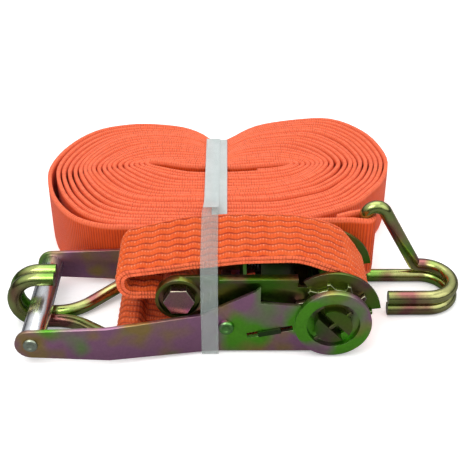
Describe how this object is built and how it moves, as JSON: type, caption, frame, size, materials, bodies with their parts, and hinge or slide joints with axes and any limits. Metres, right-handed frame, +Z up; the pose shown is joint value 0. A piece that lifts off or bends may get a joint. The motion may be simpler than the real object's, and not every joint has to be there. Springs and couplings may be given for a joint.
{
  "type": "ratchet tie down",
  "caption": "Ratchet strap with wide handle and double wire J hooks, ratchet folded and long strap rolled on edge, held by a woven band.",
  "frame": {"origin": "centre of the bottom of the bounding box, on the surface that the part stands on", "axes": "+X along the ratchet handle towards the spindle and right hook, +Y from the ratchet towards the rolled strap, +Z up"},
  "size_m": [0.3338, 0.2876, 0.0777],
  "materials": {
    "zinc_sheet": "yellow passivated zinc, iridescent, semi-gloss",
    "zinc_wire": "yellow passivated zinc, glossy, green and violet tints",
    "zinc_bolt": "yellow passivated zinc with violet tint",
    "bright_zinc": "bright zinc plated tube",
    "spring_steel": "plain spring steel",
    "orange_webbing": "woven polyester webbing with lengthwise ribs",
    "band_weave": "white translucent woven mesh band"
  },
  "bodies": {
    "frame": {"frame_plate_near": "zinc_sheet", "frame_plate_far": "zinc_sheet", "frame_bolt": "zinc_bolt", "bolt_nut": "zinc_bolt", "bolt_spacer": "zinc_sheet", "frame_spring_seat": "zinc_sheet", "frame_pawl_springs": "spring_steel", "short_strap_top": "orange_webbing", "short_strap_turn": "orange_webbing", "long_strap_roll": "orange_webbing", "long_strap_tail": "orange_webbing", "band_roll": "band_weave", "band_front": "band_weave"},
    "spindle": {"spindle_rod_upper": "zinc_sheet", "spindle_rod_lower": "zinc_sheet", "cotter_pin_near": "spring_steel", "cotter_pin_far": "spring_steel", "ratchet_wheel_near": "zinc_sheet", "ratchet_wheel_far": "zinc_sheet", "spindle_washer_near": "spring_steel", "spindle_washer_far": "spring_steel"},
    "handle": {"handle_plate_near": "zinc_sheet", "handle_plate_far": "zinc_sheet", "grip_bar": "bright_zinc", "handle_cross_rod": "zinc_sheet", "handle_spring_seat": "zinc_sheet", "handle_pawl_springs": "spring_steel", "short_strap_under": "orange_webbing"},
    "frame_pawl": {"frame_pawl": "zinc_sheet"},
    "handle_pawl": {"handle_pawl": "zinc_sheet"},
    "hook_left": {"hook_left": "zinc_wire", "short_strap_eye": "orange_webbing"},
    "hook_right": {"hook_right": "zinc_wire"}
  },
  "joints": [
    {"name": "handle_fold", "type": "hinge", "parent": "frame", "child": "handle", "pos_m": [0.06485, -0.09415, 0.0285], "axis": [0, -1, 0], "range_deg": [0, 110], "deforming": ["short_strap_turn", "band_front"]},
    {"name": "spindle_spin", "type": "hinge", "parent": "frame", "child": "spindle", "pos_m": [0.06485, -0.09415, 0.0285], "axis": [0, -1, 0], "continuous": true},
    {"name": "frame_pawl_slide", "type": "slide", "parent": "frame", "child": "frame_pawl", "axis": [-0.9781, 0, 0.2079], "range_m": [0, 0.0065], "stiffness_N_per_m": 900, "springref_m": -0.003, "deforming": ["frame_pawl_springs"]},
    {"name": "handle_pawl_slide", "type": "slide", "parent": "handle", "child": "handle_pawl", "axis": [-0.9781, 0, -0.2079], "range_m": [0, 0.007], "stiffness_N_per_m": 900, "springref_m": -0.003, "deforming": ["handle_pawl_springs"]},
    {"name": "hook_left_swing", "type": "hinge", "parent": "handle", "child": "hook_left", "pos_m": [-0.14315, -0.09415, 0.0185], "axis": [0, -1, 0], "range_deg": [0, 12]},
    {"name": "hook_right_swing", "type": "hinge", "parent": "frame", "child": "hook_right", "pos_m": [0.09585, -0.04465, 0.036], "axis": [0, 0, 1], "range_deg": [-5, 30]}
  ]
}
